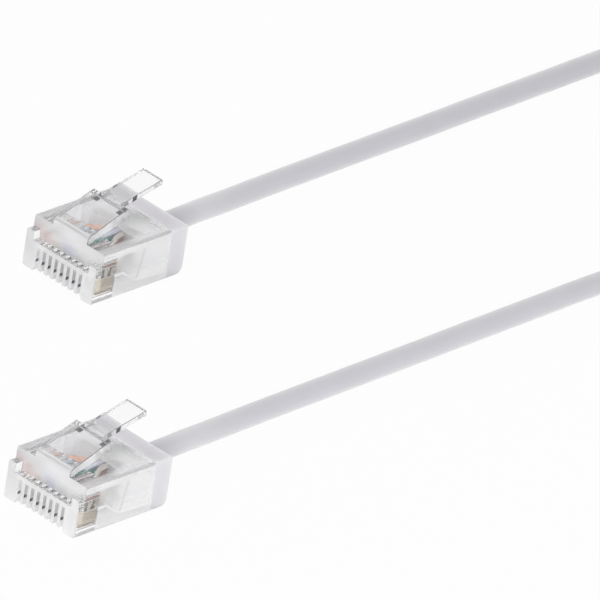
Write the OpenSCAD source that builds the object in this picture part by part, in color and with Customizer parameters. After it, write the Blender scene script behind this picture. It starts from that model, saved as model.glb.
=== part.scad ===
// Slim ethernet patch cable with a clear modular plug on each end.
// Millimetres, +Z up. The origin is on the floor, half way between the two plugs.
// Each plug points its nose along -X, with its latch up and its contact side on the floor.

/* [Housing] */
// Width of the plug across its eight contacts
plug_w = 11.68; // [11.2:0.02:12.4]
// Height of the housing without its latch
body_h = 6.5; // [6.3:0.05:7.2]
// Length from the nose to the back of the housing shell
body_l = 12.3; // [11.6:0.1:16]
// How far the comb stands ahead of the upper nose
nose_step = 1.05; // [0.6:0.05:1.4]
// Height of the two ears beside the comb
ear_h = 4.95; // [4.4:0.05:5.6]
// Width of each ear
ear_w = 1.2; // [0.9:0.05:1.4]
// Height of the comb between the ears
comb_h = 3.8; // [3.4:0.05:4.2]
// How far the comb's ribs stop above the floor
rib_lift = 0.35; // [0.1:0.05:0.6]
// Thickness of the side walls
side_wall = 1.15; // [0.8:0.05:1.3]
// Thickness of the roof
roof_t = 1.45; // [1.3:0.05:1.7]
// Thickness of the floor at the back
floor_t = 0.8; // [0.6:0.05:1.2]
// Height of the shelf that the contacts come up through
shelf_z = 2.8; // [2.6:0.05:3]
// Thickness of the wall in front of the wire ends
nose_wall = 0.55; // [0.4:0.05:0.8]
// Where the shelf ends and the floor starts to fall
shelf_end = 5.7; // [5.4:0.1:6.2]
// Where the floor is down at its full depth
ramp_end = 8; // [7.4:0.1:8.4]
// Radius along the long outer edges
edge_r = 0.3; // [0.1:0.05:0.5]

/* [Contacts] */
// Spacing of the contacts
pitch = 1.016; // [0.99:0.002:1.04]
// Thickness of a contact blade
blade_t = 0.35; // [0.3:0.01:0.4]
// Side clearance of a blade in its slot
blade_gap = 0.05; // [0.03:0.01:0.08]
// How far a blade stands back from the nose
blade_back = 1.4; // [0.8:0.05:1.6]
// Length of a blade
blade_l = 3; // [2.6:0.05:3.1]
// Height of a blade's lower edge above the floor
blade_lift = 0.4; // [0.4:0.05:0.8]
// How far the prongs reach past the middle of a conductor
prong_bite = 0.2; // [0.1:0.05:0.3]
// Length of a prong along the plug
prong_l = 0.55; // [0.4:0.05:0.7]
// How far the contact slots reach behind the blades
slot_room = 0.2; // [0.15:0.05:0.4]
// How far the slots reach above the shelf in the front of the comb
slot_rise = 0.3; // [0.1:0.05:0.6]

/* [Latch] */
// Width of the latch at its hook
latch_w = 5.9; // [5.6:0.05:6.3]
// Angle at which the latch stands when it is let go
latch_pitch = 12; // [10:0.5:13]
// Radius of the rolled root of the latch
root_r = 0.8; // [0.7:0.02:0.85]
// Running clearance around the root
root_gap = 0.03; // [0.02:0.01:0.06]
// How far the root stands back from the upper nose
root_back = 0.9; // [0.86:0.02:1.1]
// Height of the root's axis above the roof
root_lift = 0.35; // [0.3:0.05:0.5]
// Distance from the root's axis to the hook's shoulders
hook_l = 5.8; // [5.5:0.1:6.6]
// How much thicker the lever is at the foot of the hook's ramp than at the root
lever_rise = 0.55; // [0.3:0.05:0.6]
// How far the hook stands proud of the lever
hook_rise = 0.15; // [0.1:0.05:0.3]
// Length of the ramp up to the hook
hook_ramp = 1.9; // [1.4:0.1:2.4]
// Depth of the lever below the root's axis line
lever_drop = 0.2; // [0.1:0.05:0.25]
// Width of the press tab
tab_w = 3.3; // [2.8:0.02:3.6]
// Length of the press tab behind the hook
tab_l = 6.9; // [5.5:0.1:7.1]
// Thickness of the press tab
tab_t = 0.75; // [0.6:0.05:1]

/* [Wires] */
// Diameter of an insulated conductor
wire_d = 0.64; // [0.5:0.02:0.65]
// Diameter of the copper strand in it
core_d = 0.3; // [0.2:0.02:0.36]
// Clearance around that strand in its insulation
core_gap = 0.01; // [0.01:0.01:0.03]
// Distance of the row of conductors below the roof
wire_drop = 1.05; // [0.9:0.05:1.1]
// Radial clearance of a conductor in the load bar
wire_gap = 0.04; // [0.02:0.01:0.06]
// Clearance of the inner pieces in the housing
inner_gap = 0.05; // [0.03:0.01:0.08]
// How far the load bar reaches behind the blades
bar_room = 0.5; // [0.4:0.05:0.8]
// Clearance between neighbours where the conductors come together in the cable
bundle_gap = 0.02; // [0.01:0.01:0.04]
// How far the conductors reach into the end of the jacket
strip_l = 1.35; // [1:0.05:2]

/* [Strain relief] */
// Length of the collar behind the housing
collar_l = 2.7; // [2:0.1:4]
// Radius of the collar's lower back edge
collar_r = 1.2; // [0.6:0.1:1.6]
// How far behind the ramp the block inside the housing starts
block_gap = 0.2; // [0.1:0.05:0.4]
// Depth of the pocket in which the conductors fan out
pocket_l = 1.2; // [1:0.1:1.3]
// Thickness of the block over that pocket
pocket_wall = 0.15; // [0.1:0.05:0.3]

/* [Cable] */
// Outer diameter of the cable
cable_d = 2.7; // [2.6:0.05:2.9]
// Thickness of the cable's jacket
jacket_t = 0.25; // [0.2:0.01:0.26]
// Radial clearance of the jacket in the strain relief
jacket_gap = 0.02; // [0.01:0.01:0.05]

/* [Coil] */
// Width of the coil across the middle of its turns
coil_mid = 32; // [30:0.5:34]
// Turns that wind in on the floor, and out again in the layer above
layer_turns = 3.625; // [2.625:1:4.625]
// Gap between turns side by side and between layers
turn_gap = 0.46; // [0.44:0.01:0.6]
// Thickness of the tie's strap
tie_t = 0.6; // [0.5:0.1:0.9]
// Width of the tie's strap
tie_w = 5; // [3:0.5:8]
// Clearance of the tie around the coil
tie_gap = 0.3; // [0.25:0.05:0.6]
// Radius inside the tie's corners
tie_r = 1; // [0.6:0.1:1.4]

/* [Layout] */
// How far plug a lies behind plug b along the cable
pair_dx = 41; // [36:0.5:46]
// How far plug a lies beside plug b
pair_dy = 39; // [34:0.5:44]

/* [Hidden] */
PINS = [1:8];
SIDES = ["a", "b"];
$fn = 48;
cut = 1; // how far a cutting shape runs past what it cuts

plug_l = body_l + collar_l;
plug_at = [[(pair_dx - plug_l) / 2, pair_dy / 2, 0], [-(pair_dx + plug_l) / 2, -pair_dy / 2, 0]];
inner_w = plug_w - 2 * side_wall;
roof_z = body_h - roof_t;
cavity_x = nose_step + nose_wall;
slot_w = blade_t + 2 * blade_gap;
blade_end = blade_back + blade_l;
slot_l = blade_end + slot_room;
bar_end = blade_end + bar_room;
comb_w = 8 * pitch;
hinge_x = nose_step + root_back;
hinge_z = body_h + root_lift;
axis_z = body_h / 2; // height at which the cable leaves the plug
wire_z = roof_z - wire_drop;
bundle_r = wire_d / 2 / sin(180 / 7) + bundle_gap; // seven conductors lie around the eighth
block_start = ramp_end + block_gap;
jacket_x = block_start + pocket_l;
bore_r = cable_d / 2 + jacket_gap;

WIRE_COLOURS = ["bisque", "darkorange", "honeydew", "royalblue", "lightsteelblue", "seagreen",
    "wheat", "saddlebrown"];
// Place of each conductor in the round bundle: an angle, and 0 or 1 for the middle or the ring.
BUNDLE = [[0, 1], [360 / 7, 1], [-360 / 7, 1], [0, 0], [720 / 7, 1], [-720 / 7, 1], [1080 / 7, 1],
    [-1080 / 7, 1]];

function pin_y(k) = (4.5 - k) * pitch;
function smooth(t) = t * t * (3 - 2 * t);
function mix(a, b, t) = a + (b - a) * t;
function unit(v) = v / norm(v);

// ---- sweeps ----

function ring_at(c, side, up, r, n) =
    [for (i = [0:n - 1]) c + r * (cos(360 * (i + 0.5) / n) * side + sin(360 * (i + 0.5) / n) * up)];
function tangent(path, i) =
    unit(path[min(i + 1, len(path) - 1)] - path[max(i - 1, 0)]);
function level_side(t) = unit(cross(t, [0, 0, 1]));

// Walls between the rings first to first + count, wound the other way round for a bore.
function walls(first, count, n, inside) = [
    for (j = [0:count - 2]) for (i = [0:n - 1])
        let (a = first + j * n + i, b = first + j * n + (i + 1) % n, c = a + n, d = b + n)
        each inside ? [[a, b, d], [a, d, c]] : [[a, d, b], [a, c, d]]];

// Solid tube along a path, with level rings square to it.
module tube(path, r, n) {
    m = len(path);
    points = [for (i = [0:m - 1])
        let (t = tangent(path, i), s = level_side(t)) each ring_at(path[i], s, cross(s, t), r, n)];
    caps = [for (i = [1:n - 2]) each [[0, i, i + 1], [(m - 1) * n, (m - 1) * n + i + 1, (m - 1) * n + i]]];
    polyhedron(points, concat(walls(0, m, n, false), caps));
}

// Strand along a path that runs forward, with every ring in a plane across X, and a bore if r_in > 0.
module strand(path, r_out, r_in) {
    n = 8;
    m = len(path);
    side = [0, -1, 0];
    up = [0, 0, 1];
    outer = [for (p = path) each ring_at(p, side, up, r_out, n)];
    inner = [for (p = path) each ring_at(p, side, up, r_in, n)];
    last = (m - 1) * n;
    if (r_in > 0) {
        ends = [for (i = [0:n - 1]) let (j = (i + 1) % n, q = m * n) each [
            [i, j, q + j], [i, q + j, q + i],
            [last + i, q + last + j, last + j], [last + i, q + last + i, q + last + j]]];
        polyhedron(concat(outer, inner), concat(walls(0, m, n, false), walls(m * n, m, n, true), ends));
    } else {
        caps = [for (i = [1:n - 2]) each [[0, i, i + 1], [last, last + i + 1, last + i]]];
        polyhedron(outer, concat(walls(0, m, n, false), caps));
    }
}

// ---- simple blocks ----

// Profile in X and Z, given the width across Y.
module across(w) {
    rotate([90, 0, 0]) linear_extrude(w, center = true) children();
}

// Rounded rectangle with its middle at the origin.
module round_rect(l, w, r) {
    square([l - 2 * r, w], center = true);
    square([l, w - 2 * r], center = true);
    for (x = [-1, 1], y = [-1, 1]) translate([x * (l / 2 - r), y * (w / 2 - r)]) circle(r);
}

// Bar of the plug's own section from x0 to x1, with its long edges rounded.
module section_bar(x0, x1, h) {
    translate([x0, 0, h / 2]) rotate([90, 0, 90]) linear_extrude(x1 - x0) round_rect(plug_w, h, edge_r);
}

module box(x0, x1, w, z0, z1) {
    translate([x0, -w / 2, z0]) cube([x1 - x0, w, z1 - z0]);
}

// ---- the plug ----

module housing() {
    color("gainsboro") difference() {
        union() {
            section_bar(nose_step, body_l, body_h);
            section_bar(0, nose_step + edge_r, ear_h);
        }
        box(-cut, nose_step, plug_w - 2 * ear_w, comb_h, body_h + cut);
        box(-cut, slot_l, comb_w, -cut, rib_lift);
        for (k = PINS) translate([0, pin_y(k), 0]) box(-cut, slot_l, slot_w, -cut, shelf_z + slot_rise);
        across(inner_w) polygon([[cavity_x, shelf_z], [shelf_end, shelf_z], [ramp_end, floor_t],
            [body_l + cut, floor_t], [body_l + cut, roof_z], [cavity_x, roof_z]]);
        translate([hinge_x, 0, hinge_z]) rotate([90, 0, 0])
            cylinder(h = latch_w + 4 * root_gap, r = root_r + root_gap, center = true);
    }
}

module latch() {
    tab_end = hook_l + tab_l;
    ramp_v = root_r + lever_rise;
    hook_v = ramp_v + hook_rise;
    color("gainsboro") translate([hinge_x, 0, hinge_z]) rotate([0, -latch_pitch, 0]) {
        rotate([90, 0, 0]) cylinder(h = latch_w, r = root_r, center = true);
        across(latch_w) polygon([[0, -lever_drop], [hook_l, 0], [hook_l, hook_v],
            [hook_l - hook_ramp, ramp_v], [0, root_r]]);
        across(tab_w) polygon([[hook_l - tab_t, hook_v - tab_t], [tab_end, hook_v - tab_t],
            [tab_end, hook_v], [hook_l, hook_v]]);
    }
}

module load_bar() {
    bar_z = shelf_z + inner_gap;
    color("whitesmoke") difference() {
        box(cavity_x + inner_gap, bar_end, inner_w - 2 * inner_gap, bar_z, roof_z - inner_gap);
        for (k = PINS) translate([0, pin_y(k), 0]) {
            translate([0, 0, wire_z]) rotate([0, 90, 0])
                cylinder(h = bar_end + cut, r = wire_d / 2 + wire_gap);
            box(blade_back - cut, blade_end + inner_gap, slot_w, shelf_z, wire_z + prong_bite + inner_gap);
        }
    }
}

module contact(k) {
    prong_top = wire_z + prong_bite;
    blade_top = shelf_z - inner_gap;
    first = cavity_x + inner_gap - blade_back; // the prongs stand just behind the nose wall
    color("goldenrod") translate([blade_back, pin_y(k), 0]) {
        box(0, blade_l, blade_t, blade_lift, blade_top);
        for (i = [0:2]) let (x = mix(first, blade_l - prong_l, i / 2))
            across(blade_t) polygon([[x, blade_top - cut], [x + prong_l, blade_top - cut],
                [x + prong_l, prong_top - prong_l / 2], [x + prong_l / 2, prong_top],
                [x, prong_top - prong_l / 2]]);
    }
}

// Middle line of a conductor: straight through the load bar, then in to the round bundle.
function wire_path(k) =
    let (fan = [bar_end + 2 * inner_gap, jacket_x], spot = BUNDLE[k - 1],
        row = [pin_y(k), wire_z],
        bundle = [spot[1] * bundle_r * cos(spot[0]), axis_z + spot[1] * bundle_r * sin(spot[0])])
    [[cavity_x + 2 * inner_gap, row[0], row[1]],
        for (i = [0:6]) let (t = smooth(i / 6))
            [mix(fan[0], fan[1], i / 6), mix(row[0], bundle[0], t), mix(row[1], bundle[1], t)],
        [jacket_x + strip_l, bundle[0], bundle[1]]];

module wire(k) {
    color(WIRE_COLOURS[k - 1]) strand(wire_path(k), wire_d / 2, core_d / 2 + core_gap);
}

module cores() {
    color("peru") for (k = PINS) strand(wire_path(k), core_d / 2, 0);
}

module strain_relief() {
    block_w = inner_w - 2 * inner_gap;
    block_top = roof_z - inner_gap;
    color("lavender") difference() {
        union() {
            intersection() {
                section_bar(body_l, plug_l, body_h);
                across(plug_w + cut) {
                    translate([body_l - cut, collar_r]) square([collar_l + cut, body_h]);
                    translate([body_l - cut, 0]) square([collar_l + cut - collar_r, body_h]);
                    translate([plug_l - collar_r, collar_r]) circle(collar_r);
                }
            }
            box(block_start, body_l + edge_r, block_w, floor_t + inner_gap, block_top);
        }
        box(block_start - cut, jacket_x, 2 * pin_y(1) - wire_d, axis_z - bundle_r - wire_d,
            block_top - pocket_wall);
        translate([block_start, 0, axis_z]) rotate([0, 90, 0]) cylinder(h = plug_l, r = bore_r);
    }
}

module jacket_end() {
    color("lavender") translate([jacket_x, 0, axis_z]) rotate([0, 90, 0]) difference() {
        cylinder(h = plug_l - jacket_x, d = cable_d);
        translate([0, 0, -cut]) cylinder(h = cut + strip_l + inner_gap, d = cable_d - 2 * jacket_t);
    }
}

// ---- the cable ----

coil_c = [112, -20]; // middle of the coil
layer_rise = cable_d + turn_gap;
coil_out = coil_mid / 2 + layer_rise * layer_turns / 2;
coil_in = coil_mid / 2 - layer_rise * layer_turns / 2;
coil_turns = 2 * layer_turns;
coil_z = tie_t + cable_d / 2;
rings_per_turn = 24;

// Radius and height of the coil's middle line after s turns: in and out again at one rate, and up a
// layer in the half turn around the place where it turns back.
function coil_r(s) = coil_in + layer_rise * abs(s - layer_turns);
function coil_h(s) = coil_z + layer_rise * smooth(min(1, max(0, 2 * (s - layer_turns) + 0.5)));
function coil_point(s) =
    [coil_c[0] + coil_r(s) * cos(-360 * s), coil_c[1] + coil_r(s) * sin(-360 * s), coil_h(s)];

coil_steps = round(coil_turns * rings_per_turn);
coil_line = [for (i = [0:coil_steps]) coil_point(i / rings_per_turn)];
coil_first = coil_line[0] + [0, cable_d, 0];
coil_last = coil_line[coil_steps] - [cable_d, 0, 0];
coil_path = concat([coil_first], coil_line, [coil_last]);

// The free stretches, from each plug's back face to the last point before the coil.
route_a = [[28, 19.5, 3.25], [30.7, 19.5, 3.25], [34, 19.8, 3.05], [38, 20.7, 2.4], [42, 21.5, 1.75],
    [46, 21.95, 1.45], [51, 22.2, 1.35], [58, 22.3, 1.35], [65, 22.4, 1.35], [72, 22.5, 1.35],
    [79, 22.6, 1.35], [86, 22.75, 1.35], [93, 22.85, 1.35], [100, 22.95, 1.35], [105, 23.05, 1.35],
    [110, 23, 1.35], [115.5, 22.3, 1.35], [121, 20.2, 1.35], [126.2, 16.5, 1.35], [130.3, 11.4, 1.35],
    [132.9, 5, 1.4], [133.8, -2, 1.6], [133.75, -9, 1.9]];
route_b = [[-13, -19.5, 3.25], [-10.3, -19.5, 3.25], [-7, -19.2, 3.05], [-3, -18.3, 2.4], [1, -17.5, 1.75],
    [5, -17.05, 1.45], [10, -16.8, 1.35], [17, -16.7, 1.35], [24, -16.6, 1.35], [31, -16.5, 1.35],
    [38, -16.4, 1.35], [45, -16.25, 1.35], [52, -16.15, 1.35], [59, -16.05, 1.35], [66, -15.95, 1.35],
    [71, -16.2, 1.35], [76, -17.8, 1.35], [81, -20.9, 1.45], [85.5, -25.2, 1.85], [89.8, -30.2, 2.6],
    [94.8, -35.6, 3.6], [100.3, -39.8, 4.6], [105.5, -41.65, 5.1]];

module cord_a() {
    color("lavender") tube(concat(route_a, [coil_first]), cable_d / 2, 8);
}

module cord_b() {
    color("lavender") tube(concat(route_b, [coil_last]), cable_d / 2, 8);
}

module coil() {
    color("lavender") tube(coil_path, cable_d / 2, 6);
}

module tie() {
    bundle_w = coil_out - coil_in + cable_d + 2 * tie_gap;
    bundle_h = cable_d + layer_rise + 2 * tie_gap;
    color("white") translate([coil_c[0], coil_c[1], bundle_h / 2 + tie_t]) rotate([90, 0, 0])
        translate([-coil_mid / 2, 0, -tie_w / 2]) linear_extrude(tie_w) difference() {
            round_rect(bundle_w + 2 * tie_t, bundle_h + 2 * tie_t, tie_r + tie_t);
            round_rect(bundle_w, bundle_h, tie_r);
        }
}

function steps(path) = [for (i = [1:len(path) - 1]) norm(path[i] - path[i - 1])];
function total(list) = list * [for (x = list) 1];

// Least gap between turns, measured between points at least a third of a turn apart.
third = rings_per_turn / 3;
coil_gap = min([for (i = [0:coil_steps - third]) for (j = [i + third:coil_steps])
    norm(coil_line[i] - coil_line[j])]) - cable_d;
echo(least_coil_gap = coil_gap);
echo(cord_length = total(steps(concat(route_a, coil_path))) + total(steps(concat(route_b, [coil_last]))));

for (i = [0, 1]) let (s = SIDES[i]) translate(plug_at[i]) {
    housing();
    latch();
    load_bar();
    strain_relief();
    jacket_end();
    cores();
    for (k = PINS) contact(k);
    for (k = PINS) wire(k);
}
cord_a();
coil();
cord_b();
tie();
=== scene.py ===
# A slim ethernet patch cable: one metre of round cable with a clear modular plug on each end.
# Everything is in metres, in the part's own frame, with the noses along -X and the latches up.
import math

import bmesh
import bpy
from mathutils import Matrix, Vector


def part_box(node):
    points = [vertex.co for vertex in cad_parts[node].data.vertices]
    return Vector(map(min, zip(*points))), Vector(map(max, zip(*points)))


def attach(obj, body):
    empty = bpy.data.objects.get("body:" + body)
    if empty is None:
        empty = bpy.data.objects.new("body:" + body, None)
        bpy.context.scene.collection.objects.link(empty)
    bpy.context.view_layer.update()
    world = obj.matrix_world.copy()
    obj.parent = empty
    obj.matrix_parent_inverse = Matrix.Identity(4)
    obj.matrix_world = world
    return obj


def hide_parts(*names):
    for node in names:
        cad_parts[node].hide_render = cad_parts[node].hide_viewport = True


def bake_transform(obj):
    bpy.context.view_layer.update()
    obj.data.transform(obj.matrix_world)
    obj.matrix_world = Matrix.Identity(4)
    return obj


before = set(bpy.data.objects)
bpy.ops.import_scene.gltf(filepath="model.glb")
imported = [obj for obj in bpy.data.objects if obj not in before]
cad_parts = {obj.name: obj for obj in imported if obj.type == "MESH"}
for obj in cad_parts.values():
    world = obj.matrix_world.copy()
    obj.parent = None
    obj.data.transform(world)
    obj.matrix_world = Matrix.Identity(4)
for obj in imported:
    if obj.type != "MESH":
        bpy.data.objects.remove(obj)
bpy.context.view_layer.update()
mm = 0.001

# ---- Viewpoint ----
# A very long lens looks down on the noses and the latches from the front left, and leans a little on
# its own axis. It is aimed by where the nose of plug a stands in a picture of 600 by 600.
azimuth, elevation, lean = math.radians(40.99), math.radians(28.39), math.radians(8.84)
ahead = Vector((math.cos(elevation) * math.cos(azimuth), math.cos(elevation) * math.sin(azimuth),
    -math.sin(elevation)))
level = Vector((math.sin(azimuth), -math.cos(azimuth), 0))
upright = level.cross(ahead)
picture_right = level * math.cos(lean) + upright * math.sin(lean)
picture_up = upright * math.cos(lean) - level * math.sin(lean)
picture_side = 600
nose_pixel = (56.3, 284.8)
pixels_per_m = 8518


def nose_foot(side):
    """The middle of the foot of a plug's nose, from which the plug is measured."""
    low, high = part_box("housing_" + side)
    return Vector((low.x, (low.y + high.y) / 2, 0))


lens = bpy.data.cameras.new("long_lens")
lens.sensor_width = 36
lens.lens = 1700
distance = picture_side / pixels_per_m * lens.lens / lens.sensor_width
aim = nose_foot("a") + picture_right * (picture_side / 2 - nose_pixel[0]) / pixels_per_m
aim -= picture_up * (picture_side / 2 - nose_pixel[1]) / pixels_per_m
camera = bpy.data.objects.new("camera", lens)
camera.location = aim - ahead * distance
camera.rotation_mode = "QUATERNION"
camera.rotation_quaternion = Matrix((picture_right, picture_up, -ahead)).transposed().to_quaternion()
lens.clip_end = 3 * distance
bpy.context.scene.collection.objects.link(camera)
bpy.context.scene.camera = camera

# ---- Cable ----
# One metre of round cable runs from plug to plug: soft pale lavender PVC over eight stranded conductors. It
# lies straight out behind each plug, and its spare length is wound in a flat coil of two layers.
cable_d = 2.7 * mm
route_a = [(28, 19.5, 3.25), (30.7, 19.5, 3.25), (34, 19.8, 3.05), (38, 20.7, 2.4), (42, 21.5, 1.75),
    (46, 21.95, 1.45), (51, 22.2, 1.35), (58, 22.3, 1.35), (65, 22.4, 1.35), (72, 22.5, 1.35),
    (79, 22.6, 1.35), (86, 22.75, 1.35), (93, 22.85, 1.35), (100, 22.95, 1.35), (105, 23.05, 1.35),
    (110, 23, 1.35), (115.5, 22.3, 1.35), (121, 20.2, 1.35), (126.2, 16.5, 1.35), (130.3, 11.4, 1.35),
    (132.9, 5, 1.4), (133.8, -2, 1.6), (133.75, -9, 1.9)]
route_b = [(-13, -19.5, 3.25), (-10.3, -19.5, 3.25), (-7, -19.2, 3.05), (-3, -18.3, 2.4), (1, -17.5, 1.75),
    (5, -17.05, 1.45), (10, -16.8, 1.35), (17, -16.7, 1.35), (24, -16.6, 1.35), (31, -16.5, 1.35),
    (38, -16.4, 1.35), (45, -16.25, 1.35), (52, -16.15, 1.35), (59, -16.05, 1.35), (66, -15.95, 1.35),
    (71, -16.2, 1.35), (76, -17.8, 1.35), (81, -20.9, 1.45), (85.5, -25.2, 1.85), (89.8, -30.2, 2.6),
    (94.8, -35.6, 3.6), (100.3, -39.8, 4.6), (105.5, -41.65, 5.1)]
coil_centre = Vector((112, -20, 0)) * mm
coil_middle = 32 * mm  # width across the middle of the turns
layer_turns = 3.625
turn_gap = 0.46 * mm
turn_step = cable_d + turn_gap
climb_turns = 0.5  # how long the step up to the second layer takes
strap_t = 0.6 * mm  # the tie's strap passes under the turns
coil_floor = strap_t + cable_d / 2
points_per_turn = 24


def coil_point(turns):
    """The coil's middle line: in on the floor, up a layer where it turns back, and out again."""
    climb = min(1, max(0, (turns - layer_turns) / climb_turns + 0.5))
    radius = coil_middle / 2 + turn_step * (abs(turns - layer_turns) - layer_turns / 2)
    angle = -2 * math.pi * turns
    height = coil_floor + turn_step * climb * climb * (3 - 2 * climb)
    return coil_centre + Vector((radius * math.cos(angle), radius * math.sin(angle), height))


coil_steps = round(2 * layer_turns * points_per_turn)
coil_line = [coil_point(i / points_per_turn) for i in range(coil_steps + 1)]
cable_line = [Vector(p) * mm for p in route_a] + [coil_line[0] + Vector((0, cable_d, 0))] + coil_line
cable_line += [coil_line[-1] - Vector((cable_d, 0, 0))] + [Vector(p) * mm for p in reversed(route_b)]

cable_curve = bpy.data.curves.new("cable", "CURVE")
cable_curve.dimensions = "3D"
cable_curve.bevel_depth = cable_d / 2
cable_curve.bevel_resolution = 8
cable_curve.resolution_u = 4
cable_curve.use_fill_caps = True
spline = cable_curve.splines.new("BEZIER")
spline.bezier_points.add(len(cable_line) - 1)
for handle, place in zip(spline.bezier_points, cable_line):
    handle.co = place
    handle.handle_left_type = handle.handle_right_type = "AUTO"
cable = bpy.data.objects.new("cable", cable_curve)
bpy.context.scene.collection.objects.link(cable)


def add_node(tree, kind, inputs, **settings):
    """Adds a node to a material's or a shape's tree. Its inputs are numbers, colours or other outputs."""
    node = tree.nodes.new(kind)
    for key, value in settings.items():
        setattr(node, key, value)
    for key, value in inputs.items():
        if isinstance(value, bpy.types.NodeSocket):
            tree.links.new(value, node.inputs[key])
        else:
            node.inputs[key].default_value = value
    return node


def new_finish(name, qualities):
    """A new material, its tree and its shader, with the qualities that are the same all over."""
    finish = bpy.data.materials.new(name)
    finish.use_nodes = True
    shader = finish.node_tree.nodes["Principled BSDF"]
    for quality, value in qualities.items():
        shader.inputs[quality].default_value = value
    return finish, finish.node_tree, shader


def plain_finish(name, colour, grain, grain_height, qualities):
    """A moulded or extruded plastic: one colour that drifts a little, with a fine grain in its surface."""
    drift_size, darkest, lightest, grain_strength = 6 * mm, 0.94, 1.05, 0.3
    finish, tree, plastic = new_finish(name, qualities)
    place = add_node(tree, "ShaderNodeTexCoord", {}).outputs["Object"]
    drift = add_node(tree, "ShaderNodeTexNoise", {"Vector": place, "Scale": 1 / drift_size})
    shades = add_node(tree, "ShaderNodeValToRGB", {"Fac": drift.outputs["Fac"]})
    shades.color_ramp.elements[0].color = [darkest * c for c in colour] + [1]
    shades.color_ramp.elements[1].color = [min(1, lightest * c) for c in colour] + [1]
    tree.links.new(shades.outputs["Color"], plastic.inputs["Base Color"])
    relief = add_node(tree, "ShaderNodeTexNoise", {"Vector": place, "Scale": 1 / grain})
    bump = add_node(tree, "ShaderNodeBump",
        {"Strength": grain_strength, "Distance": grain_height, "Height": relief.outputs["Fac"]})
    tree.links.new(bump.outputs["Normal"], plastic.inputs["Normal"])
    return finish


jacket_finish = plain_finish("jacket_pvc", (0.52, 0.51, 0.56), 0.3 * mm, 0.01 * mm, {"Roughness": 0.35,
    "Sheen Weight": 1, "Sheen Roughness": 0.7, "Coat Weight": 0.5, "Coat Roughness": 0.25,
    "Subsurface Weight": 0.8, "Subsurface Radius": (1, 1, 1), "Subsurface Scale": 1.2 * mm})
cable_curve.materials.append(jacket_finish)
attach(cable, "root")
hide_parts("cord_a", "coil", "cord_b")

# ---- Tie ----
# A smooth strap of pale plastic, moulded as a closed loop with round corners. It is pushed over all the
# turns on one side of the coil and holds them together.


def refinish(mesh, finish):
    """Gives a mesh one finish all over."""
    mesh.materials.clear()
    mesh.materials.append(finish)


tie_finish = plain_finish("tie_plastic", (0.72, 0.72, 0.75), 0.4 * mm, 0.01 * mm, {"Roughness": 0.35})
refinish(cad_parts["tie"].data, tie_finish)

# ---- Plug shell ----
# The housing of each plug and its spring latch are one moulding in clear polycarbonate. The latch grows
# out of the top of the nose through a thin neck, which flexes when the tab is pressed. The sizes are in
# the plug's own millimetres, from the middle of the foot of its nose.
plug_w, body_h, body_l, edge_r = 11.68, 6.5, 12.3, 0.3
side_wall, roof_t, floor_t, nose_wall = 1.15, 1.45, 0.8, 0.55
nose_step, ear_h, ear_w, comb_h, rib_lift = 1.05, 4.95, 1.2, 3.8, 0.35
shelf_z, shelf_end, ramp_end = 2.8, 5.7, 8
pitch, blade_t, blade_gap, slot_l, slot_rise = 1.016, 0.35, 0.05, 4.6, 0.3
hinge_x, hinge_z, latch_pitch = 1.95, 6.85, math.radians(12)
latch_w, root_r, lever_rise, lever_drop = 5.9, 0.8, 0.55, 0.2
hook_l, hook_rise, hook_ramp = 5.8, 0.15, 1.9
tab_w, tab_l, tab_t = 3.3, 6.9, 0.75
hook_top = root_r + lever_rise + hook_rise
comb_half = 4 * pitch
past = 1  # how far a cutter runs past what it cuts
sharp = math.radians(35)  # edges that turn more than this are rounded
pins = range(1, 9)
plug_nose = {side: nose_foot(side) for side in "ab"}


def pin_y(pin):
    """How far a pin's contact stands off the plug's middle plane."""
    return ((pins[0] + pins[-1]) / 2 - pin) * pitch


def arc(x, z, radius, start, end, steps):
    """Points on an arc around (x, z), from one angle in degrees to another."""
    turns = [math.radians(start + (end - start) * i / steps) for i in range(steps + 1)]
    return [(x + radius * math.cos(turn), z + radius * math.sin(turn)) for turn in turns]


def solid(points):
    """A straight solid in the plug's own millimetres. The first half of its points go round one end, and the
    others go round the other end."""
    count = len(points) // 2
    faces = [list(range(count)), list(range(count, 2 * count))]
    faces += [(i, (i + 1) % count, count + (i + 1) % count, count + i) for i in range(count)]
    mesh = bpy.data.meshes.new("solid")
    mesh.from_pydata(points, [], faces)
    form = bmesh.new()
    form.from_mesh(mesh)
    bmesh.ops.recalc_face_normals(form, faces=form.faces)
    form.to_mesh(mesh)
    form.free()
    body = bpy.data.objects.new("solid", mesh)
    bpy.context.scene.collection.objects.link(body)
    return body


def prism(outline, width, middle=0):
    """An outline in X and Z, given a width across Y."""
    return solid([(x, middle + side * width / 2, z) for side in (-1, 1) for x, z in outline])


def block(x0, x1, y0, y1, z0, z1):
    """A box between two corners."""
    return prism([(x0, z0), (x1, z0), (x1, z1), (x0, z1)], y1 - y0, (y0 + y1) / 2)


def section_bar(x0, x1, height):
    """A bar along X with the plug's own section, its long edges rounded."""
    half, section = plug_w / 2, []
    for y, z, start in ((half, height, 0), (-half, height, 90), (-half, 0, 180), (half, 0, 270)):
        inset_y = y - math.copysign(edge_r, y)
        inset_z = z - edge_r if z else edge_r
        section += arc(inset_y, inset_z, edge_r, start, start + 90, steps=5)
    return solid([(x, y, z) for x in (x0, x1) for y, z in section])


def baked(body):
    """Applies what is on an object to its mesh."""
    depsgraph = bpy.context.evaluated_depsgraph_get()
    seen = body.evaluated_get(depsgraph)
    result = bpy.data.meshes.new_from_object(seen, preserve_all_data_layers=True, depsgraph=depsgraph)
    body.modifiers.clear()
    body.data = result
    return body


def worked(body, operation, *tools):
    """Unites a body with other solids, or cuts them out of it."""
    for tool in tools:
        step = body.modifiers.new("step", "BOOLEAN")
        step.operation = operation
        step.solver = "EXACT"
        step.object = tool
        baked(body)
        bpy.data.objects.remove(tool)
    return body


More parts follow.
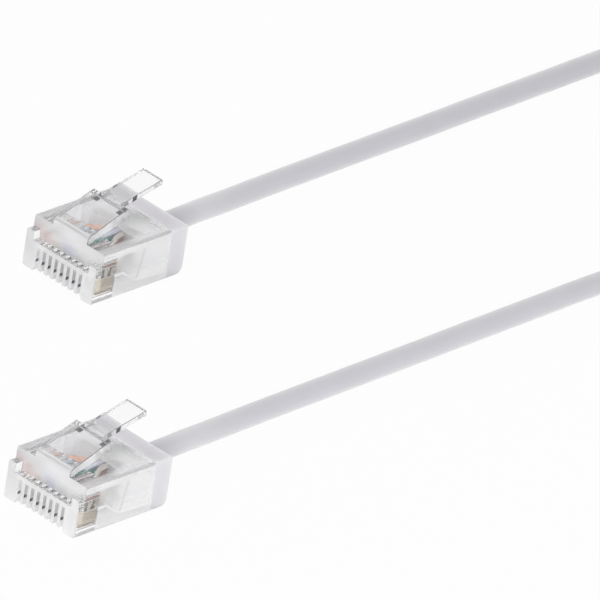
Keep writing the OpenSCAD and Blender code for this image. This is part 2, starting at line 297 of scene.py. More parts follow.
def on_lever(along, above):
    """A place on the latch, from its hinge along the lever and above it."""
    return (hinge_x + along * math.cos(latch_pitch) - above * math.sin(latch_pitch),
        hinge_z + along * math.sin(latch_pitch) + above * math.cos(latch_pitch))


def latch_outline():
    """The latch's side view: up the neck, round over the root, along the lever and up the hook's ramp. It is
    cut in short steps."""
    sunk, neck_step, neck_steps, lever_steps = 0.5, 0.1, 7, 10
    root_back, crook, crook_h = 0.1, 0.02, 0.07
    outline = [(nose_step + sunk, body_h - sunk), (nose_step, body_h - sunk)]
    outline += [(nose_step, body_h - sunk + i * neck_step) for i in range(1, neck_steps + 1)]
    outline += arc(hinge_x - root_back, hinge_z, root_r, 178, 108, steps=9)
    outline += [on_lever(i * (hook_l - hook_ramp) / lever_steps, root_r + lever_rise * i / lever_steps)
        for i in range(1, lever_steps + 1)]
    outline += [on_lever(hook_l, hook_top), on_lever(hook_l, 0)]
    outline += [on_lever(hook_l * i / lever_steps, -lever_drop * (1 - i / lever_steps))
        for i in reversed(range(lever_steps))]
    outline += [(hinge_x - crook, body_h + crook_h), (hinge_x, body_h - crook), (hinge_x, body_h - sunk)]
    return outline


def tab_outline():
    """The press tab's side view: a flat strip, level with the top of the hook."""
    return [on_lever(hook_l - tab_t, hook_top - tab_t), on_lever(hook_l + tab_l, hook_top - tab_t),
        on_lever(hook_l + tab_l, hook_top), on_lever(hook_l, hook_top)]


def plug_shell():
    """Housing and latch as one solid: the stepped nose, the comb of slots and the hollow for the cable."""
    half, inner = plug_w / 2, plug_w / 2 - side_wall
    cavity_front, cavity_top = nose_step + nose_wall, body_h - roof_t
    shell = section_bar(nose_step, body_l, body_h)
    worked(shell, "UNION", section_bar(0, nose_step + edge_r, ear_h))
    worked(shell, "UNION", prism(latch_outline(), latch_w))
    worked(shell, "UNION", prism(tab_outline(), tab_w))
    cavity = [(cavity_front, shelf_z), (shelf_end, shelf_z), (ramp_end, floor_t), (body_l + past, floor_t),
        (body_l + past, cavity_top), (cavity_front, cavity_top)]
    worked(shell, "DIFFERENCE",
        block(-past, nose_step, ear_w - half, half - ear_w, comb_h, body_h + past),
        block(-past, slot_l, -comb_half, comb_half, -past, rib_lift),
        *[block(-past, slot_l, pin_y(pin) - blade_t / 2 - blade_gap, pin_y(pin) + blade_t / 2 + blade_gap,
            -past, shelf_z + slot_rise) for pin in pins],
        prism(cavity, 2 * inner))
    return shell


def tidied(body):
    """Joins what a union leaves in pieces, which is faces in one plane and points that fall together. Notes
    how much each sharp edge is to be rounded."""
    same_plane, same_point = math.radians(1), 0.03
    hollow_weight, latch_weight, body_weight = 0.15, 1, 0.5
    form = bmesh.new()
    form.from_mesh(body.data)
    bmesh.ops.dissolve_limit(form, angle_limit=same_plane, verts=form.verts, edges=form.edges)
    bmesh.ops.remove_doubles(form, verts=form.verts, dist=same_point)
    weight = form.edges.layers.float.new("bevel_weight_edge")
    for edge in form.edges:
        if edge.calc_face_angle() > sharp:
            middle = (edge.verts[0].co + edge.verts[1].co) / 2
            outward = latch_weight if middle.z > body_h else body_weight
            edge[weight] = outward if edge.is_convex else hollow_weight
    form.to_mesh(body.data)
    form.free()
    return body


def marked(mesh, nose):
    """Notes on the moulding for its finish: each point's own place in millimetres, and for each corner how
    matt it is (frost), how dark its painted shade is (edge), and whether it is on an outer side, on the
    wall of a slot or on the front of the nose."""
    near, rim, slack = 0.1, 0.2, 0.01  # how close to a face counts as on it
    mostly, nearly, downward = 0.9, 0.99, -0.7  # how far a face turns towards one direction
    least_facing, facing_span = 0.1, 0.5
    front_depth, ears_from, lever_to, edges_to = nose_step + 1.1, 4.2 * pitch, 8, 12
    rib_frost, nose_frost, foot_frost, round_frost, latch_frost, bevel_frost = 0.8, 0.6, 1, 0.7, 0.35, 0.5
    # Painted shade: the bevels of the latch and of the housing, and the latch's own faces, are darkened
    # where clear plastic looks dark at its edges.
    lever_edge_shade, tab_edge_shade, latch_face_shade, house_edge_shade = 0.4, 0.22, 0.04, 0.06
    half = plug_w / 2
    notes = {name: [0.0] * len(mesh.loops) for name in ("frost", "edge", "side", "slot", "front")}
    frost, edge = notes["frost"], notes["edge"]
    for face in mesh.polygons:
        middle = (face.center - nose) / mm
        turn, off_middle, bevel = face.normal, abs(middle.y), face.material_index == 1
        across = abs(turn.y) > mostly
        raised = middle.z > body_h + near
        outer = off_middle > half - rim or middle.z > body_h - rim or middle.x < rim
        slanted = abs(turn.x) < near < turn.z and max(abs(turn.y), turn.z) < nearly
        rounded = slanted and off_middle > half - edge_r and not bevel
        in_comb = middle.x < slot_l and off_middle < comb_half + near and middle.z < shelf_z + slot_rise
        for i in face.loop_indices:
            corner = (mesh.vertices[mesh.loops[i].vertex_index].co - nose) / mm
            facing = min(1, max(0, (-mesh.corner_normals[i].vector.x - least_facing) / facing_span))
            if corner.x < front_depth:
                rib = corner.z < comb_h - near and abs(corner.y) < ears_from
                ear = corner.x < nose_step - rim and abs(corner.y) > ears_from
                frost[i] = facing * (rib_frost if rib or ear else nose_frost)
                notes["front"][i] = facing
            if corner.z < near and turn.z < downward:
                frost[i] = foot_frost
            if rounded and corner.z > body_h - edge_r - slack:
                frost[i] = round_frost
            # Painted shade on the bevels and faces of the latch, and on the housing's outer bevels.
            if raised and bevel:
                edge[i] = lever_edge_shade if middle.x < lever_to else tab_edge_shade
            elif raised:
                edge[i] = latch_face_shade
            elif bevel:
                edge[i] = house_edge_shade if outer and middle.x < edges_to else 0
                frost[i] = max(frost[i], bevel_frost)
            if raised and across:
                frost[i] = latch_frost
            notes["side"][i] = float(across and off_middle > half - near)
            notes["slot"][i] = float(across and in_comb)
        face.material_index = 0
    for name, values in notes.items():
        mesh.attributes.new(name, "FLOAT", "CORNER").data.foreach_set("value", values)
    places = [c for point in mesh.vertices for c in (point.co - nose) / mm]
    mesh.attributes.new("place", "FLOAT_VECTOR", "POINT").data.foreach_set("vector", places)


def mixed(tree, share, first, second):
    """A colour between two others."""
    return add_node(tree, "ShaderNodeMix", {"Factor": share, "A": first, "B": second},
        data_type="RGBA").outputs["Result"]


def clear_finish(name, cloud):
    """Clear polycarbonate, smooth, with the faint waves of a moulded surface. Where it is frosted it is
    matt, and cloud is how much light it then holds back. Painted shade darkens its edges, the mouths of its
    slots and corners of the latch, and painted tints on the nose's front stand for the conductors behind it."""
    finish, tree, plastic = new_finish(name, {"IOR": 1.5})

    def note(label, output="Fac"):
        """What marked() wrote on the mesh under a name."""
        return add_node(tree, "ShaderNodeAttribute", {}, attribute_name=label).outputs[output]

    def reckoned(operation, *values):
        """Numbers or outputs put together one after another."""
        result = values[0]
        for value in values[1:]:
            result = add_node(tree, "ShaderNodeMath", {0: result, 1: value}, operation=operation).outputs[0]
        return result

    def times(*values):
        """The product, which is 1 only where all of them are."""
        return reckoned("MULTIPLY", *values)

    def most(*values):
        """The largest, which is 1 where any of them is."""
        return reckoned("MAXIMUM", *values)

    def zone(along, start, full, full_to=None, end=None):
        """1 inside a zone and 0 outside. It starts and is full at the first two places. On its other side,
        if it has one, it is full to and ends at the others."""
        inside = add_node(tree, "ShaderNodeMapRange",
            {"Value": along, "From Min": start, "From Max": full}).outputs[0]
        return inside if end is None else times(inside, zone(along, end, full_to))

    place = add_node(tree, "ShaderNodeSeparateXYZ", {"Vector": note("place", "Vector")}).outputs
    x, y, z = place["X"], place["Y"], place["Z"]
    off_middle = reckoned("ABSOLUTE", y, 0)

    # The side walls are clear beside the blades and cloudy behind them, most of all low down.
    behind_blades, low_down, least_cloudy, more_cloudy = (3.2, 3.5), (3.4, 2.0), 0.5, 0.3
    wall = times(note("side"), zone(x, *behind_blades))
    low_side = times(wall, reckoned("ADD", times(zone(z, *low_down), more_cloudy), least_cloudy))

    # Two thin lines are marked on the side walls, standing for inner edges seen through them: a matt line
    # where
    #     the shelf under the conductors runs down to the floor of the hollow, and a line of painted shade
    #     where the milky block starts. The roof is a little matt above the walls.
    shelf_turn, shelf_start, shelf_stop, shelf_low, shelf_up, shelf_down = 6.95, 4.8, 12.7, 1.5, 1.55, -0.33
    shelf_fade, front_fade, front_rise = (0.26, 0.13), (0.3, 0.12), (1.6, 5.3)
    front_foot, front_lean, front_shade, front_height = 7.2, 0.8, 0.2, (1.5, 1.7, 5.3, 5.5)
    over_wall_y, over_wall_z, over_wall_frost = (4.4, 4.8), (6.3, 6.45, 6.55, 6.6), 0.6
    shelf_run = reckoned("ADD", times(zone(x, shelf_turn, shelf_start), shelf_up),
        times(zone(x, shelf_turn, shelf_stop), shelf_down))
    off_shelf = reckoned("ABSOLUTE", reckoned("SUBTRACT", z, shelf_run, shelf_low), 0)
    shelf_line = times(wall, zone(off_shelf, *shelf_fade))
    front_run = reckoned("ADD", times(zone(z, *front_rise), front_lean), front_foot)
    off_front = reckoned("ABSOLUTE", reckoned("SUBTRACT", x, front_run), 0)
    front_line = times(wall, zone(off_front, *front_fade), zone(z, *front_height))
    over_wall = times(zone(off_middle, *over_wall_y), zone(z, *over_wall_z), over_wall_frost)

    # In the mouth of each slot is painted shade: a grey stroke over a dark dot, where the slot looks dark.
    # Its walls are pale behind them.
    mouth, pale_to, stroke_z, dot_z = (0.6, 0.4), (1.35, 1.2), (1.7, 1.9, 2.6, 3.1), (1.2, 1.3, 1.6, 1.75)
    slot, stroke_shade, slot_frost = note("slot"), 0.3, 0.75
    stroke = times(zone(z, *stroke_z), stroke_shade)
    slot_mouth_shade = times(slot, zone(x, *mouth), most(zone(z, *dot_z), stroke))
    pale_slot = times(slot, zone(x, *pale_to), slot_frost)

    # Painted shade on the latch: the root of the tab is painted grey, and the inner corners behind the hook
    # and
    #     the waists on the sides of the tab are painted dark, where the clear plastic looks dark.
    root_x, root_z, root_shade = (7.3, 7.6, 9.8, 10.1), (8.0, 8.2), 0.2
    nook_x, nook_y, nook_z = (6.85, 6.95, 7.5, 7.55), (1.55, 1.65, 2.35, 2.5), (7.7, 7.8, 8.12, 8.2)
    waist_x, waist_y, waist_z = (9.2, 9.3, 9.9, 10.1), (1.6, 1.63), (9.2, 9.3)
    tab_root = times(zone(x, *root_x), zone(z, *root_z))
    nook = times(zone(off_middle, *nook_y), zone(x, *nook_x), zone(z, *nook_z))
    waist = times(zone(off_middle, *waist_y), zone(z, *waist_z), zone(x, *waist_x))
    shade = most(nook, waist)
    # All the painted shade put together: darkened edges, slot mouths, the tab's root, the block's line and
    # the latch's corners.
    dark = most(note("edge"), slot_mouth_shade, times(tab_root, root_shade), times(front_line, front_shade), shade)

    # Painted light on the front of the nose: salmon and pale blue tints stand for the colours of the
    # conductors behind it showing through.
    wires_x, wires_z, orange_y, blue_y = (0.7, 0.9), (6.2, 4.8), (2.2, 3.6), (1.6, 0.2, -0.6, -1.6)
    clear, salmon, pale_blue = (0.975, 0.973, 0.98, 1), (0.99, 0.85, 0.82, 1), (0.88, 0.88, 0.99, 1)
    # The colour of the painted shade.
    dark_grey = (0.08, 0.08, 0.09, 1)
    seen_wires = times(note("front"), zone(x, *wires_x), zone(z, *wires_z))
    colour = mixed(tree, times(seen_wires, zone(y, *orange_y)), clear, salmon)
    colour = mixed(tree, times(seen_wires, zone(y, *blue_y)), colour, pale_blue)
    colour = mixed(tree, dark, colour, dark_grey)
    tree.links.new(colour, plastic.inputs["Base Color"])

    smooth, matt, dark_frost = 0.02, 0.4, 0.5
    frost = most(note("frost"), low_side, times(dark, dark_frost), pale_slot, shelf_line, over_wall, shade)
    roughness = add_node(tree, "ShaderNodeMapRange", {"Value": frost, "To Min": smooth, "To Max": matt})
    tree.links.new(roughness.outputs["Result"], plastic.inputs["Roughness"])
    through = add_node(tree, "ShaderNodeMapRange", {"Value": frost, "To Min": 1, "To Max": 1 - cloud})
    tree.links.new(through.outputs["Result"], plastic.inputs["Transmission Weight"])
    wave_size, wave_strength, wave_height = 1.6 * mm, 0.5, 0.02 * mm
    where = add_node(tree, "ShaderNodeTexCoord", {}).outputs["Object"]
    waves = add_node(tree, "ShaderNodeTexNoise", {"Vector": where, "Scale": 1 / wave_size})
    bump = add_node(tree, "ShaderNodeBump",
        {"Strength": wave_strength, "Distance": wave_height, "Height": waves.outputs["Fac"]})
    tree.links.new(bump.outputs["Normal"], plastic.inputs["Normal"])

    # Light passes straight through to what lies inside, because a clear body casts hardly any shadow.
    lit = add_node(tree, "ShaderNodeBsdfTransparent", {"Color": (0.99, 0.99, 1, 1)})
    path = add_node(tree, "ShaderNodeLightPath", {})
    either = add_node(tree, "ShaderNodeMixShader", {0: path.outputs["Is Shadow Ray"],
        1: plastic.outputs["BSDF"], 2: lit.outputs["BSDF"]})
    tree.links.new(either.outputs["Shader"], tree.nodes["Material Output"].inputs["Surface"])
    return finish


def placed(form, name, side):
    """A copy of a form made in the plug's millimetres, put where the plug of that side is."""
    mesh = form.data.copy()
    mesh.transform(Matrix.Translation(plug_nose[side]) @ Matrix.Scale(mm, 4))
    for polygon in mesh.polygons:
        polygon.use_smooth = True
    piece = bpy.data.objects.new(name, mesh)
    bpy.context.scene.collection.objects.link(piece)
    return piece


shell_soft, shell_soft_steps, neck_h = 0.11 * mm, 2, 0.45 * mm
clear_plastic = clear_finish("clear_polycarbonate", 0.8)
shell_form = tidied(plug_shell())
for side in "ab":
    shell = placed(shell_form, "plug_shell_" + side, side)
    refinish(shell.data, clear_plastic)
    shell.data.materials.append(clear_plastic)  # a second slot tells the rounded edges apart
    soften = shell.modifiers.new("soften", "BEVEL")
    soften.width = shell_soft
    soften.segments = shell_soft_steps
    soften.limit_method = "WEIGHT"
    soften.use_clamp_overlap = False
    soften.material = 1
    shell.modifiers.new("even", "WEIGHTED_NORMAL").keep_sharp = False
    baked(shell)
    marked(shell.data, plug_nose[side])
    shell.data.materials.pop()
    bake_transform(shell)
    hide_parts("housing_" + side, "latch_" + side)
bpy.data.objects.remove(shell_form)

# ---- Strain relief ----
# Soft milky PVC is moulded round the end of the jacket. It fills the back of the housing, with a pocket in
# which the conductors fan out, and ends in a collar as large as the housing.
collar_l, collar_r, collar_seam = 2.7, 1.2, 0.03
inner_gap, block_start, pocket_l, pocket_wall, bore_r = 0.05, 8.2, 1.2, 0.15, 1.37
wire_d, wire_z, bundle_gap = 0.64, 4, 0.02
jacket_x, axis_z, plug_l = block_start + pocket_l, body_h / 2, body_l + collar_l
bundle_r = wire_d / 2 / math.sin(math.pi / 7) + bundle_gap  # seven conductors lie round the eighth


def rod(x0, x1, radius, z, sides=48):
    """A round bar along X."""
    ring = [(radius * math.cos(2 * math.pi * i / sides), radius * math.sin(2 * math.pi * i / sides))
        for i in range(sides)]
    return solid([(x, y, z + up) for x in (x0, x1) for y, up in ring])


def relief_form():
    """The collar with its round lower corner, the block inside the housing, the pocket and the bore."""
    collar_side = [(body_l, 0)] + arc(plug_l - collar_r, collar_r, collar_r, 270, 360, steps=12)
    collar_side += [(plug_l, body_h + past), (body_l, body_h + past)]
    collar = section_bar(body_l + collar_seam, plug_l, body_h)
    worked(collar, "INTERSECT", prism(collar_side, plug_w + past))
    half, pocket = plug_w / 2 - side_wall - inner_gap, pin_y(1) - wire_d / 2
    foot, top = floor_t + inner_gap, body_h - roof_t - inner_gap
    pocket_foot, pocket_top = axis_z - bundle_r - wire_d, top - pocket_wall
    worked(collar, "UNION", block(block_start, body_l + edge_r, -half, half, foot, top))
    worked(collar, "DIFFERENCE",
        block(block_start - past, jacket_x, -pocket, pocket, pocket_foot, pocket_top),
        rod(block_start, plug_l + past, bore_r, axis_z))
    return collar


def softened(piece, width, steps=2):
    """Rounds a piece's sharp edges and evens its shading."""
    soften = piece.modifiers.new("soften", "BEVEL")
    soften.width = width
    soften.segments = steps
    soften.limit_method = "ANGLE"
    soften.angle_limit = sharp
    piece.modifiers.new("even", "WEIGHTED_NORMAL").keep_sharp = False
    return baked(piece)


def milky_finish(name):
    """Soft PVC that lets light in: pale lavender, satin, a little cloudy. Inside the housing it is painted
    paler, as painted light that makes up for the shade in there.
    """
    finish = plain_finish(name, (0.725, 0.712, 0.745), 0.5 * mm, 0.01 * mm, {"Roughness": 0.4, "IOR": 1.4,
        "Subsurface Weight": 1, "Subsurface Radius": (1, 0.95, 1), "Subsurface Scale": 3 * mm})
    tree = finish.node_tree
    plastic = tree.nodes["Principled BSDF"]
    lavender = plastic.inputs["Base Color"].links[0].from_socket
    # Painted light: faces marked inside the housing are painted paler.
    inside = add_node(tree, "ShaderNodeAttribute", {}, attribute_name="inside").outputs["Fac"]
    tree.links.new(mixed(tree, inside, lavender, (0.95, 0.94, 0.97, 1)), plastic.inputs["Base Color"])
    return finish


relief_soft, relief_soft_steps, behind_seam = 0.16 * mm, 3, 0.1
milky_pvc = milky_finish("milky_pvc")
relief = relief_form()
for side in "ab":
    piece = softened(placed(relief, "strain_relief_boot_" + side, side), relief_soft, relief_soft_steps)
    refinish(piece.data, milky_pvc)
    # Painted light: the faces inside the housing are marked, to be painted paler.
    inside = piece.data.attributes.new("inside", "FLOAT", "FACE")
    for face in piece.data.polygons:
        inside.data[face.index].value = face.center.x < plug_nose[side].x + (body_l + behind_seam) * mm
    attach(piece, "root")
    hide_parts("strain_relief_" + side)
bpy.data.objects.remove(relief)

# ---- Jacket ends ----
# The last few millimetres of the cable's own PVC jacket. The strain relief is moulded round them, and the
# conductors come out of their cut faces.
for side in "ab":
    refinish(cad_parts["jacket_end_" + side].data, jacket_finish)

# ---- Conductors ----
# Eight stranded copper conductors in coloured insulation. They lie side by side through the load bar, then
# draw together into the round bundle inside the jacket. The insulation keeps its solids' plain colours.
core_d, core_gap, strip_l, bar_end = 0.3, 0.01, 1.35, 4.9
cavity_x = nose_step + nose_wall
strands, strand_lay = 6, 6 * mm  # six strands lie round one in the middle
# Each conductor's place in the bundle: how many sevenths of a turn round, and 0 in the middle or 1 outside.
bundle = [(0, 1), (1, 1), (-1, 1), (0, 0), (2, 1), (-2, 1), (3, 1), (-3, 1)]
wire_colours = ["white_orange", "orange", "white_green", "blue", "white_blue", "green", "white_brown",
    "brown"]


def conductor_line(pin, steps=16):
    """A conductor's middle line: straight through the load bar, then in to its place in the bundle."""
    sevenths, out = bundle[pin - 1]
    turn = math.radians(sevenths * 360 / 7)
    end_y = out * bundle_r * math.cos(turn)
    end_z = axis_z + out * bundle_r * math.sin(turn)
    start = bar_end + 2 * inner_gap
    line = [(cavity_x + 2 * inner_gap, pin_y(pin), wire_z)]
    for i in range(steps + 1):
        t = i / steps
        ease = t * t * (3 - 2 * t)
        line.append((start + t * (jacket_x - start), pin_y(pin) + ease * (end_y - pin_y(pin)),
            wire_z + ease * (end_z - wire_z)))
    return line + [(jacket_x + strip_l, end_y, end_z)]


def line_object(side, lines):
    """Middle lines, given in the plug's millimetres, as an object of bare edges where the plug is."""
    mesh = bpy.data.meshes.new("line")
    points, edges = [], []
    for line in lines:
        edges += [(len(points) + i, len(points) + i + 1) for i in range(len(line) - 1)]
        points += [plug_nose[side] + Vector(point) * mm for point in line]
    mesh.from_pydata(points, edges, [])
    base = bpy.data.objects.new("line", mesh)
    bpy.context.scene.collection.objects.link(base)
    return base


def new_tree(name, **sockets):
    """A shape tree: geometry in and out, and named inputs for its sizes."""
    tree = bpy.data.node_groups.new(name, "GeometryNodeTree")
    tree.interface.new_socket("Geometry", in_out="INPUT", socket_type="NodeSocketGeometry")
    for label, kind in sockets.items():
        tree.interface.new_socket(label, in_out="INPUT", socket_type="NodeSocket" + kind)
    tree.interface.new_socket("Geometry", in_out="OUTPUT", socket_type="NodeSocketGeometry")
    return tree, tree.nodes.new("NodeGroupInput").outputs


def close_tree(tree, shape, finish):
    """Ends a tree with real geometry in one finish."""
    real = add_node(tree, "GeometryNodeRealizeInstances", {"Geometry": shape})
    coated = add_node(tree, "GeometryNodeSetMaterial", {"Geometry": real.outputs[0], "Material": finish})
    add_node(tree, "NodeGroupOutput", {0: coated.outputs[0]})
    return tree


def grown(base, name, tree, values):
    """Turns an object into the plain mesh that a tree makes from it."""
    step = base.modifiers.new("tree", "NODES")
    step.node_group = tree
    for socket in tree.interface.items_tree:
        if socket.name in values:
            step[socket.identifier] = values[socket.name]
    baked(base)
    base.name = base.data.name = name
    return base


def insulation_tree():
    """A tube along a line: the wall of its bore, thickened outwards, and that wall again as its lining."""
    sides, same_point = 16, mm / 1000
    tree, given = new_tree("insulation", Bore="Float", Wall="Float", Finish="Material")
    line = add_node(tree, "GeometryNodeMeshToCurve", {"Mesh": given["Geometry"]})
    radius = add_node(tree, "ShaderNodeMath", {0: given["Bore"], 1: 0.5}, operation="MULTIPLY")
    ring = add_node(tree, "GeometryNodeCurvePrimitiveCircle",
        {"Resolution": sides, "Radius": radius.outputs[0]})
    inner = add_node(tree, "GeometryNodeCurveToMesh",
        {"Curve": line.outputs[0], "Profile Curve": ring.outputs[0]})
    outer = add_node(tree, "GeometryNodeExtrudeMesh",
        {"Mesh": inner.outputs[0], "Offset Scale": given["Wall"], "Individual": False})
    lining = add_node(tree, "GeometryNodeFlipFaces", {"Mesh": inner.outputs[0]})
    both = add_node(tree, "GeometryNodeJoinGeometry", {})
    tree.links.new(outer.outputs[0], both.inputs[0])
    tree.links.new(lining.outputs[0], both.inputs[0])
    closed = add_node(tree, "GeometryNodeMergeByDistance",
        {"Geometry": both.outputs[0], "Distance": same_point})
    smooth = add_node(tree, "GeometryNodeSetShadeSmooth", {"Geometry": closed.outputs[0]})
    return close_tree(tree, smooth.outputs[0], given["Finish"])


def strand_tree():
    """Fine wires laid round one in the middle, twisted along a line."""
    points, sides, ring_share, wire_share = 60, 6, 3.0, 6.2  # the shares divide the strand's diameter
    tree, given = new_tree("strand", Diameter="Float", Count="Int", Lay="Float", Finish="Material")
    line = add_node(tree, "GeometryNodeMeshToCurve", {"Mesh": given["Geometry"]})
    fine = add_node(tree, "GeometryNodeResampleCurve", {"Curve": line.outputs[0], "Count": points})
    along = add_node(tree, "GeometryNodeSplineParameter", {})
    turns = add_node(tree, "ShaderNodeMath",
        {0: along.outputs["Length"], 1: given["Lay"]}, operation="DIVIDE")
    tilt = add_node(tree, "ShaderNodeMath", {0: turns.outputs[0], 1: 2 * math.pi}, operation="MULTIPLY")
    laid = add_node(tree, "GeometryNodeSetCurveTilt", {"Curve": fine.outputs[0], "Tilt": tilt.outputs[0]})
    ring_r = add_node(tree, "ShaderNodeMath", {0: given["Diameter"], 1: ring_share}, operation="DIVIDE")
    wire_r = add_node(tree, "ShaderNodeMath", {0: given["Diameter"], 1: wire_share}, operation="DIVIDE")
    spots = add_node(tree, "GeometryNodeMeshCircle",
        {"Vertices": given["Count"], "Radius": ring_r.outputs[0]})
    middle = add_node(tree, "GeometryNodeMeshLine", {"Count": 1})
    places = add_node(tree, "GeometryNodeJoinGeometry", {})
    tree.links.new(spots.outputs[0], places.inputs[0])
    tree.links.new(middle.outputs[0], places.inputs[0])
    ring = add_node(tree, "GeometryNodeCurvePrimitiveCircle",
        {"Resolution": sides, "Radius": wire_r.outputs[0]})
    rings = add_node(tree, "GeometryNodeInstanceOnPoints",
        {"Points": places.outputs[0], "Instance": ring.outputs[0]})
    section = add_node(tree, "GeometryNodeRealizeInstances", {"Geometry": rings.outputs[0]})
    wires = add_node(tree, "GeometryNodeCurveToMesh",
        {"Curve": laid.outputs[0], "Profile Curve": section.outputs[0], "Fill Caps": True})
    smooth = add_node(tree, "GeometryNodeSetShadeSmooth", {"Geometry": wires.outputs[0]})
    return close_tree(tree, smooth.outputs[0], given["Finish"])


def metal_finish(name, colour, roughness, streak):
    """Drawn or plated metal, with fine streaks along X."""
    drawn_out, smoothest, roughest = 0.1, 0.7, 1.3
    finish, tree, metal = new_finish(name, {"Metallic": 1, "Base Color": (*colour, 1)})
    place = add_node(tree, "ShaderNodeTexCoord", {}).outputs["Object"]
    drawn = add_node(tree, "ShaderNodeMapping", {"Vector": place, "Scale": (drawn_out, 1, 1)})
    streaks = add_node(tree, "ShaderNodeTexNoise", {"Vector": drawn.outputs[0], "Scale": 1 / streak})
    shine = add_node(tree, "ShaderNodeMapRange", {"Value": streaks.outputs["Fac"],
        "To Min": smoothest * roughness, "To Max": roughest * roughness})
    tree.links.new(shine.outputs["Result"], metal.inputs["Roughness"])
    return finish


insulation = insulation_tree()
strand = strand_tree()
copper = metal_finish("bare_copper", (0.93, 0.56, 0.38), roughness=0.3, streak=0.05 * mm)
for side in "ab":
    for pin, colour in zip(pins, wire_colours):
        wire = "wire_%s%d" % (side, pin)
        piece = grown(line_object(side, [conductor_line(pin)]), "insulation_%s%d" % (side, pin), insulation,
            {"Bore": (core_d + 2 * core_gap) * mm, "Wall": (wire_d - core_d) / 2 * mm - core_gap * mm,
            "Finish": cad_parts[wire].data.materials[0]})
        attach(piece, "root")
        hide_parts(wire)
    piece = grown(line_object(side, [conductor_line(pin) for pin in pins]), "copper_strands_" + side, strand,
        {"Diameter": core_d * mm, "Count": strands, "Lay": strand_lay, "Finish": copper})
    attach(piece, "root")
    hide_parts("cores_" + side)

# ---- Contacts ----
# Eight gold-plated phosphor bronze blades are pressed up through slots in the housing. Three sharp prongs on
# each bite through the insulation into the copper.
blade_back, blade_l, blade_lift, prong_bite, prong_l, prongs = 1.4, 3, 0.4, 0.2, 0.55, 3
blade_corner, blade_soft = 0.35, 0.04 * mm


def blade_form():
    """One contact at the plug's middle line: a blade with round lower corners, and prongs on top."""
    top, tip, blade_end = shelf_z - inner_gap, wire_z + prong_bite, blade_back + blade_l
    neck = tip - prong_l / 2
    first, last = cavity_x + inner_gap, blade_end - prong_l
    outline = arc(blade_back + blade_corner, blade_lift + blade_corner, blade_corner, 180, 270, steps=6)
    outline += arc(blade_end - blade_corner, blade_lift + blade_corner, blade_corner, 270, 360, steps=6)
    outline.append((blade_end, top))
    for i in reversed(range(prongs)):
        x = first + (last - first) * i / (prongs - 1)
        if x + prong_l < blade_end:
            outline.append((x + prong_l, top))
        outline += [(x + prong_l, neck), (x + prong_l / 2, tip), (x, neck), (x, top)]
    return prism(outline + [(blade_back, top)], blade_t)


def row_tree():
    """Copies of a piece in a row along Y."""
    tree, given = new_tree("row", Count="Int", Pitch="Float", Finish="Material")
    step = add_node(tree, "ShaderNodeCombineXYZ", {"Y": given["Pitch"]})
    spots = add_node(tree, "GeometryNodeMeshLine", {"Count": given["Count"], "Offset": step.outputs[0]})
    row = add_node(tree, "GeometryNodeInstanceOnPoints",
        {"Points": spots.outputs[0], "Instance": given["Geometry"]})
    return close_tree(tree, row.outputs[0], given["Finish"])


contact_row = row_tree()
plating = metal_finish("gold_plating", (0.74, 0.68, 0.57), roughness=0.25, streak=0.08 * mm)
blade = blade_form()
for side in "ab":
    piece = softened(placed(blade, "blade", side), blade_soft)
    piece.data.transform(Matrix.Translation((0, pin_y(8) * mm, 0)))
    piece = grown(piece, "contacts_" + side, contact_row,
        {"Count": len(pins), "Pitch": pitch * mm, "Finish": plating})
    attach(piece, "root")
    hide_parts(*["contact_%s%d" % (side, pin) for pin in pins])
bpy.data.objects.remove(blade)

# ---- Load bar ----
# A clear moulded bar with eight holes sits inside the nose. It is slid over the conductors before they go
# into the housing, and holds them at the right pitch while the prongs are pressed in.
bar_plastic = clear_finish("clear_load_bar", 0)
for side in "ab":
    refinish(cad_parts["load_bar_" + side].data, bar_plastic)

# ---- Studio ----
# A plain white floor and a white surrounding light, brighter at the horizon than overhead, with one large
# soft lamp low at the front left. Reflections and clear plastic see an evenly white room instead.
reach = 3
below = -0.02 * mm  # the plugs stand this much clear, so that no two faces fall together
floor_mesh = bpy.data.meshes.new("floor")
floor_mesh.from_pydata([(-reach, -reach, below), (reach, -reach, below), (reach, reach, below),
    (-reach, reach, below)], [], [(0, 1, 2, 3)])
floor = bpy.data.objects.new("floor", floor_mesh)
bpy.context.scene.collection.objects.link(floor)


def bounced(tree, path):
    """Whether a ray came by a reflection or through clear plastic."""
    glossy, through = path.outputs["Is Glossy Ray"], path.outputs["Is Transmission Ray"]
    return add_node(tree, "ShaderNodeMath", {0: glossy, 1: through}, operation="MAXIMUM").outputs[0]


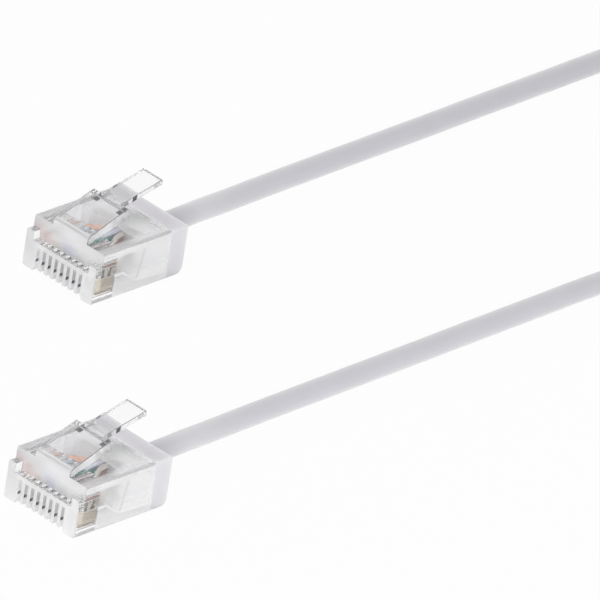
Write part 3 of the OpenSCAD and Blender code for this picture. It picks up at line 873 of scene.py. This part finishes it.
paper_glow = 0.95
paper, tree, sheet = new_finish("white_paper", {"Base Color": (0.97, 0.97, 0.97, 1), "Roughness": 0.9})
glow = add_node(tree, "ShaderNodeEmission", {"Color": (1, 1, 1, 1)})
path = add_node(tree, "ShaderNodeLightPath", {})
direct = add_node(tree, "ShaderNodeMath", {0: path.outputs["Is Camera Ray"], 1: paper_glow},
    operation="MULTIPLY")
mirrored = add_node(tree, "ShaderNodeMath", {0: bounced(tree, path), 1: paper_glow}, operation="MULTIPLY")
share = add_node(tree, "ShaderNodeMath", {0: direct.outputs[0], 1: mirrored.outputs[0]}, operation="MAXIMUM")
either = add_node(tree, "ShaderNodeMixShader",
    {"Fac": share.outputs["Value"], 1: sheet.outputs["BSDF"], 2: glow.outputs["Emission"]})
tree.links.new(either.outputs["Shader"], tree.nodes["Material Output"].inputs["Surface"])
floor_mesh.materials.append(paper)

horizon_shade, overhead_shade, room_strength = 1.12, 0.42, 1.05
world = bpy.data.worlds.new("white_room")
bpy.context.scene.world = world
world.use_nodes = True
tree = world.node_tree
heading = add_node(tree, "ShaderNodeTexCoord", {}).outputs["Generated"]
height = add_node(tree, "ShaderNodeSeparateXYZ", {"Vector": heading}).outputs["Z"]
lamps = add_node(tree, "ShaderNodeValToRGB", {"Fac": height})
lamps.color_ramp.interpolation = "EASE"
for stop, shade in zip(lamps.color_ramp.elements, (horizon_shade, overhead_shade)):
    stop.color = (shade, shade, shade, 1)
path = add_node(tree, "ShaderNodeLightPath", {})
room = mixed(tree, bounced(tree, path), lamps.outputs["Color"], (1, 1, 1, 1))
tree.links.new(room, tree.nodes["Background"].inputs["Color"])
tree.nodes["Background"].inputs["Strength"].default_value = room_strength

lamp_distance, lamp_rise = 0.6, 0.2
soft_box = bpy.data.lights.new("soft_box", "AREA")
soft_box.shape = "SQUARE"
soft_box.size = 0.5
soft_box.energy = 1.6
lamp = bpy.data.objects.new("soft_box", soft_box)
lamp_way = Vector((-ahead.x, -ahead.y, lamp_rise)).normalized()
lamp.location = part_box("housing_a")[0] + lamp_way * lamp_distance
lamp.rotation_mode = "QUATERNION"
lamp.rotation_quaternion = lamp_way.to_track_quat("Z", "Y")
bpy.context.scene.collection.objects.link(lamp)

bpy.context.scene.view_settings.view_transform = "Standard"
